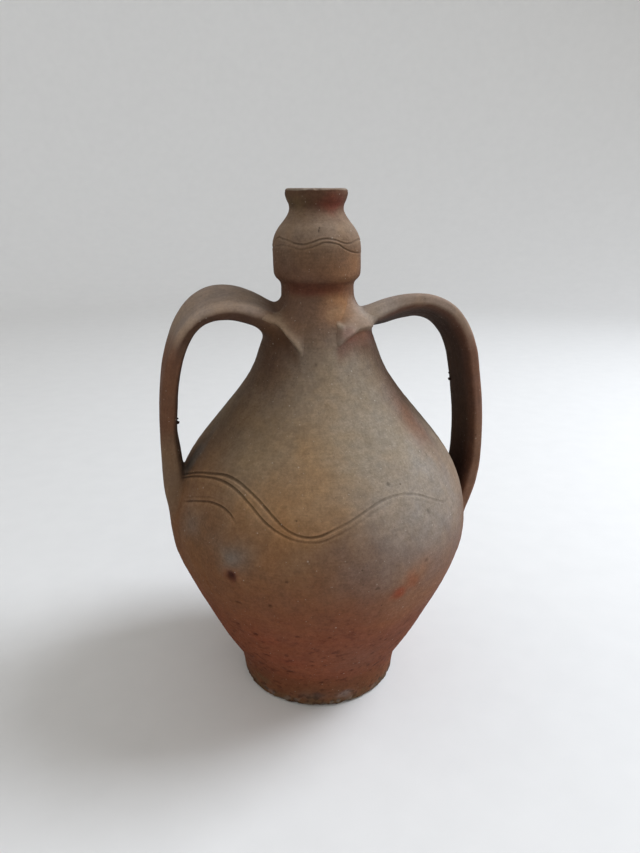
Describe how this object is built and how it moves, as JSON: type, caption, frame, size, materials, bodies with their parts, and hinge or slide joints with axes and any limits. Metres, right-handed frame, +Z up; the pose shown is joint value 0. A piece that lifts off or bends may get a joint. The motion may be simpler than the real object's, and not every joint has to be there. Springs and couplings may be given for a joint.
{
  "type": "two-handled jug",
  "caption": "Unglazed earthenware water jug with ovoid belly, flat foot, bulb under a small rolled lip and strap handles from neck to belly.",
  "frame": {"origin": "centre of the foot's flat underside", "axes": "+Z up along the pot's axis to the mouth; handles lie in the XZ plane, the taller one towards -X; -Y is the front"},
  "size_m": [0.2081, 0.191, 0.32],
  "materials": {
    "body_clay": "unglazed, fired, matt",
    "handle_clay": "unglazed, fired, matt",
    "luting_clay": "unglazed, fired, matt"
  },
  "bodies": {
    "root": {"foot": "body_clay", "lower_belly": "body_clay", "shoulder": "body_clay", "neck": "body_clay", "bulb": "body_clay", "lip": "body_clay", "handle_left": "handle_clay", "handle_right": "handle_clay", "handle_left_upper_pad": "luting_clay", "handle_right_upper_pad": "luting_clay", "handle_left_lower_pad": "luting_clay", "handle_right_lower_pad": "luting_clay"}
  },
  "joints": []
}
